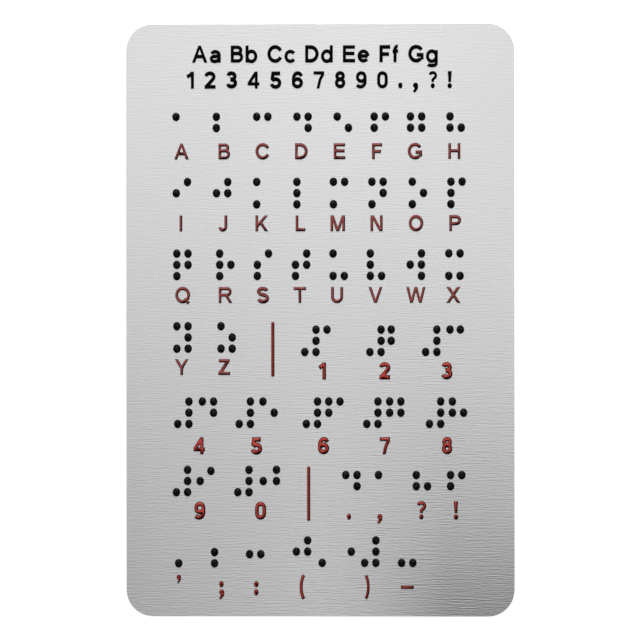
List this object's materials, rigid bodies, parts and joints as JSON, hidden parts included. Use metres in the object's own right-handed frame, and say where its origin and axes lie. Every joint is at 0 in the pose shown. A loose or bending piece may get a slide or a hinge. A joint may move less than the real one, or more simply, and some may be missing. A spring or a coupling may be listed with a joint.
{
  "type": "braille alphabet board",
  "caption": "Flat board with raised braille cells of the alphabet, numbers and punctuation: domed black dots through a brushed metal face sheet, with red divider bars.",
  "frame": {"origin": "centre of the flat back of the backing plate", "axes": "+Z out of the face towards the reader, +Y up the board as it is read, +X to the reader's right"},
  "size_m": [0.0864, 0.132, 0.004],
  "materials": {
    "brushed_metal": "brushed across the board's width",
    "black_plastic": "glossy domes, satin plate",
    "red_plastic": "semi-gloss raised lacquer"
  },
  "bodies": {
    "root": {"backing_plate": "black_plastic", "face_sheet": "brushed_metal", "upper_divider_bar": "red_plastic", "lower_divider_bar": "red_plastic"}
  },
  "joints": []
}
